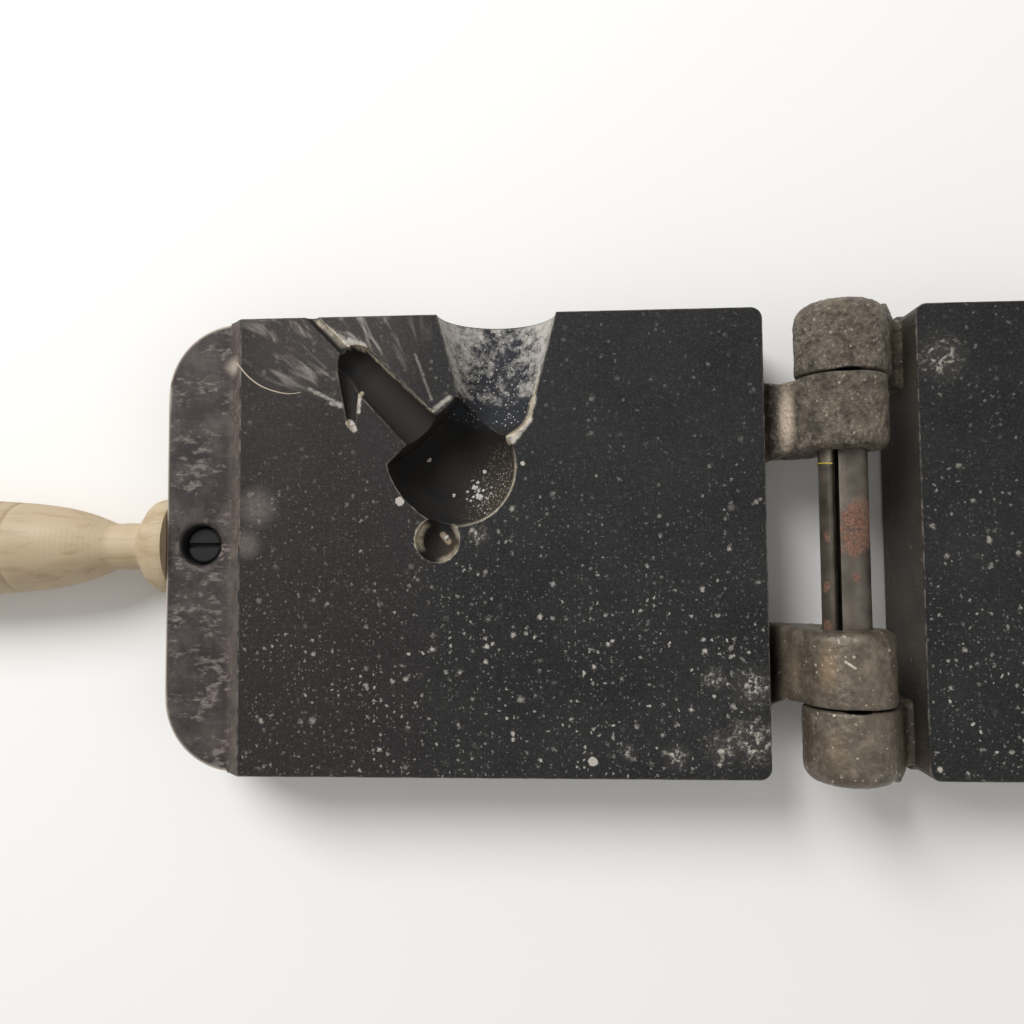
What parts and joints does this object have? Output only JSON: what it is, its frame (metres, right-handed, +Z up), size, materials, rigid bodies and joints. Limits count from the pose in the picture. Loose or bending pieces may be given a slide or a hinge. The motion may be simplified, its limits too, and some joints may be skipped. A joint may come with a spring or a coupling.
{
  "type": "hinged casting mould",
  "caption": "Two-part aluminium casting mould for a round fishing jig head, hinged on a slotted spring pin, lying open, with a turned wooden handle on each half.",
  "frame": {"origin": "on the resting plane, under the middle of the hinge line", "axes": "+X across the open mould from the left half to the right half, +Y along the hinge towards the pouring funnels, +Z up out of the machined faces"},
  "size_m": [0.439, 0.08, 0.0267],
  "materials": {
    "cast_aluminium": "cast, machined on the parting face, blackened by soot",
    "pin_steel": "spring steel, browned, with a little rust",
    "turned_wood": "turned, bare, handled",
    "screw_steel": "zinc plated, dulled"
  },
  "bodies": {
    "left_half": {"left_block": "cast_aluminium", "left_handle": "turned_wood", "left_handle_washer": "screw_steel", "left_handle_screw": "screw_steel", "left_barrel_nut": "screw_steel"},
    "right_half": {"right_block": "cast_aluminium", "hinge_pin": "pin_steel", "right_handle": "turned_wood", "right_handle_washer": "screw_steel", "right_handle_screw": "screw_steel", "right_barrel_nut": "screw_steel"}
  },
  "joints": [
    {"name": "hinge", "type": "hinge", "parent": "left_half", "child": "right_half", "pos_m": [0, 0, 0.0191], "axis": [0, -1, 0], "range_deg": [0, 180]}
  ]
}
